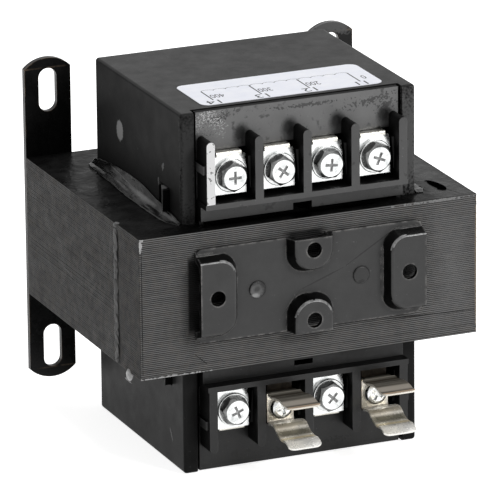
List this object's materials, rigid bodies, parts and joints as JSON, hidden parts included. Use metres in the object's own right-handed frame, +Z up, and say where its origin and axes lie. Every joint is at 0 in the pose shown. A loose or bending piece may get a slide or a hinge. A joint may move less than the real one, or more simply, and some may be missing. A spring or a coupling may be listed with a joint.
{
  "type": "control transformer",
  "caption": "Small black control transformer with screw terminals above, fuse clips below and slotted feet",
  "frame": {"origin": "middle of the footprint, on the ground under the lower cover", "axes": "X to the right seen from the terminals, Y to the mounting panel, Z up"},
  "size_m": [0.0968, 0.0937, 0.0979],
  "materials": {
    "painted_laminations": "semi_gloss",
    "weld_metal": "satin",
    "painted_steel_feet": "semi_gloss",
    "painted_steel_plate": "satin",
    "bobbin_plastic": "matte",
    "winding_copper": "gloss",
    "insulation_film_clear": "gloss",
    "cover_plastic": "satin",
    "terminal_block_plastic": "matte",
    "tab_brass": "satin",
    "clamp_plate_zinc": "satin",
    "clamp_screw_zinc": "satin",
    "clip_tinned_bronze": "satin",
    "clip_screw_zinc": "satin",
    "lead_enamel": "gloss",
    "slot_film_black": "gloss",
    "label_paper": "satin"
  },
  "bodies": {
    "transformer": {"e_lamination_stack": "painted_laminations", "i_lamination_stack": "painted_laminations", "core_weld_beads": "weld_metal", "left_mounting_foot": "painted_steel_feet", "right_mounting_foot": "painted_steel_feet", "foot_welds": "weld_metal", "front_plate": "painted_steel_plate", "plate_plug_welds": "weld_metal", "bobbin": "bobbin_plastic", "primary_winding": "winding_copper", "layer_insulation": "insulation_film_clear", "secondary_winding": "winding_copper", "coil_wrap": "insulation_film_clear", "upper_cover": "cover_plastic", "lower_cover": "cover_plastic", "upper_terminal_block": "terminal_block_plastic", "lower_terminal_block": "terminal_block_plastic", "primary_tab_1": "tab_brass", "primary_tab_2": "tab_brass", "primary_tab_3": "tab_brass", "primary_tab_4": "tab_brass", "secondary_tab_1": "tab_brass", "secondary_tab_2": "tab_brass", "secondary_tab_3": "tab_brass", "secondary_tab_4": "tab_brass", "fuse_clip_2": "clip_tinned_bronze", "fuse_clip_4": "clip_tinned_bronze", "fuse_clip_screws": "clip_screw_zinc", "primary_leads": "lead_enamel", "secondary_leads": "lead_enamel", "left_insulation_film": "slot_film_black", "right_insulation_film": "slot_film_black", "connection_label": "label_paper"},
    "primary_clamp_1": {"primary_clamp_plate_1": "clamp_plate_zinc"},
    "primary_screw_1": {"primary_clamp_screw_1": "clamp_screw_zinc"},
    "primary_clamp_2": {"primary_clamp_plate_2": "clamp_plate_zinc"},
    "primary_screw_2": {"primary_clamp_screw_2": "clamp_screw_zinc"},
    "primary_clamp_3": {"primary_clamp_plate_3": "clamp_plate_zinc"},
    "primary_screw_3": {"primary_clamp_screw_3": "clamp_screw_zinc"},
    "primary_clamp_4": {"primary_clamp_plate_4": "clamp_plate_zinc"},
    "primary_screw_4": {"primary_clamp_screw_4": "clamp_screw_zinc"},
    "secondary_clamp_1": {"secondary_clamp_plate_1": "clamp_plate_zinc"},
    "secondary_screw_1": {"secondary_clamp_screw_1": "clamp_screw_zinc"},
    "secondary_clamp_3": {"secondary_clamp_plate_3": "clamp_plate_zinc"},
    "secondary_screw_3": {"secondary_clamp_screw_3": "clamp_screw_zinc"}
  },
  "joints": [
    {"name": "primary_clamp_1_lift", "type": "slide", "parent": "transformer", "child": "primary_clamp_1", "axis": [0, -1, 0], "range_m": [0, 0.003]},
    {"name": "primary_screw_1_turn", "type": "hinge", "parent": "primary_clamp_1", "child": "primary_screw_1", "pos_m": [-0.02025, -0.02921, 0.08065], "axis": [0, -1, 0], "range_deg": [0, 1361]},
    {"name": "primary_clamp_2_lift", "type": "slide", "parent": "transformer", "child": "primary_clamp_2", "axis": [0, -1, 0], "range_m": [0, 0.003]},
    {"name": "primary_screw_2_turn", "type": "hinge", "parent": "primary_clamp_2", "child": "primary_screw_2", "pos_m": [-0.00675, -0.02921, 0.08065], "axis": [0, -1, 0], "range_deg": [0, 1361]},
    {"name": "primary_clamp_3_lift", "type": "slide", "parent": "transformer", "child": "primary_clamp_3", "axis": [0, -1, 0], "range_m": [0, 0.003]},
    {"name": "primary_screw_3_turn", "type": "hinge", "parent": "primary_clamp_3", "child": "primary_screw_3", "pos_m": [0.00675, -0.02921, 0.08065], "axis": [0, -1, 0], "range_deg": [0, 1361]},
    {"name": "primary_clamp_4_lift", "type": "slide", "parent": "transformer", "child": "primary_clamp_4", "axis": [0, -1, 0], "range_m": [0, 0.003]},
    {"name": "primary_screw_4_turn", "type": "hinge", "parent": "primary_clamp_4", "child": "primary_screw_4", "pos_m": [0.02025, -0.02921, 0.08065], "axis": [0, -1, 0], "range_deg": [0, 1361]},
    {"name": "secondary_clamp_1_lift", "type": "slide", "parent": "transformer", "child": "secondary_clamp_1", "axis": [0, -1, 0], "range_m": [0, 0.003]},
    {"name": "secondary_screw_1_turn", "type": "hinge", "parent": "secondary_clamp_1", "child": "secondary_screw_1", "pos_m": [-0.02025, -0.02921, 0.01705], "axis": [0, -1, 0], "range_deg": [0, 1361]},
    {"name": "secondary_clamp_3_lift", "type": "slide", "parent": "transformer", "child": "secondary_clamp_3", "axis": [0, -1, 0], "range_m": [0, 0.003]},
    {"name": "secondary_screw_3_turn", "type": "hinge", "parent": "secondary_clamp_3", "child": "secondary_screw_3", "pos_m": [0.00675, -0.02921, 0.01705], "axis": [0, -1, 0], "range_deg": [0, 1361]}
  ],
  "couplings": [
    {"joint": "primary_screw_1_turn", "follows": "primary_clamp_1_lift", "rad_per_m": 7913.3},
    {"joint": "primary_screw_2_turn", "follows": "primary_clamp_2_lift", "rad_per_m": 7913.3},
    {"joint": "primary_screw_3_turn", "follows": "primary_clamp_3_lift", "rad_per_m": 7913.3},
    {"joint": "primary_screw_4_turn", "follows": "primary_clamp_4_lift", "rad_per_m": 7913.3},
    {"joint": "secondary_screw_1_turn", "follows": "secondary_clamp_1_lift", "rad_per_m": 7913.3},
    {"joint": "secondary_screw_3_turn", "follows": "secondary_clamp_3_lift", "rad_per_m": 7913.3}
  ]
}
